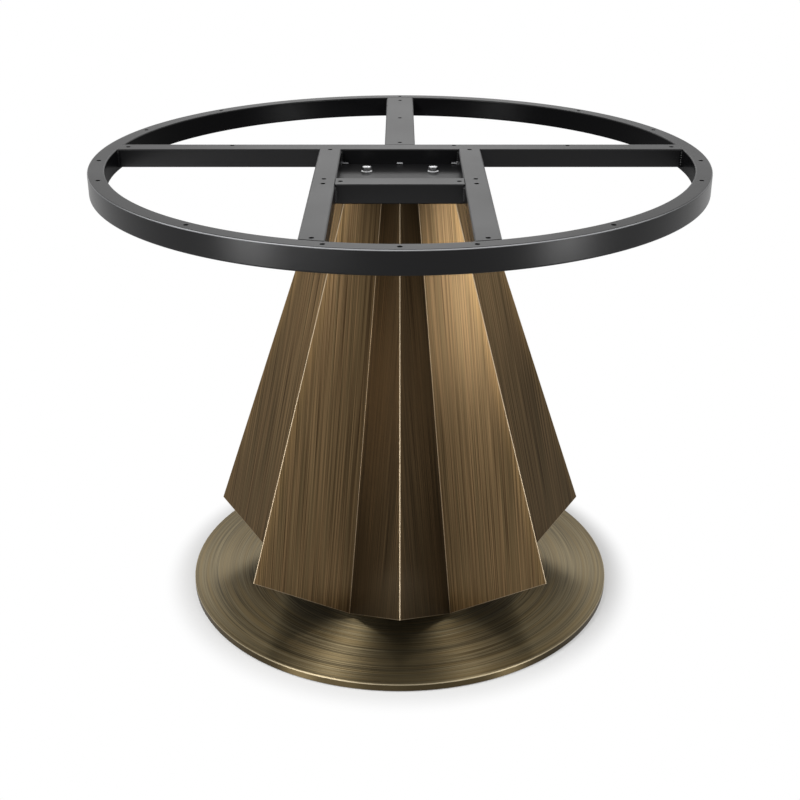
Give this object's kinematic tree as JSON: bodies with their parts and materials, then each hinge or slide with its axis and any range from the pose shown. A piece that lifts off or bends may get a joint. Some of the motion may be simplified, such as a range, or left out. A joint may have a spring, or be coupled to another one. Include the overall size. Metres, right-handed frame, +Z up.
{
  "type": "pedestal table base",
  "caption": "Table base with a round welded tube frame on a pleated bronze-toned metal shell that flares down over a round brushed foot disc.",
  "frame": {"origin": "middle of the underside, on the floor", "axes": "+Z up; -Y to the front, which the picture shows; +X to the right"},
  "size_m": [0.9199, 0.92, 0.723],
  "materials": {
    "frame_black": "satin black powder coat",
    "bronze_sheet": "bronze tone, brushed along the folds",
    "bronze_disc": "bronze tone, brushed in circles",
    "zinc": "bright plated",
    "column_black": "matt black",
    "pad_rubber": "matt"
  },
  "bodies": {
    "root": {"ring_tube": "frame_black", "cross_tube": "frame_black", "back_tube": "frame_black", "front_tube_left": "frame_black", "front_tube_right": "frame_black", "short_tube": "frame_black", "mounting_plate": "frame_black", "frame_welds": "frame_black", "frame_bolts": "zinc", "foot_screws": "zinc", "head_plate": "column_black", "column_tube": "column_black", "foot_plate": "column_black", "upper_star_plate": "column_black", "lower_star_plate": "column_black", "base_disc": "bronze_disc", "floor_pads": "pad_rubber", "pleat_1": "bronze_sheet", "pleat_2": "bronze_sheet", "pleat_3": "bronze_sheet", "pleat_4": "bronze_sheet", "pleat_5": "bronze_sheet", "pleat_6": "bronze_sheet", "pleat_7": "bronze_sheet"}
  },
  "joints": []
}
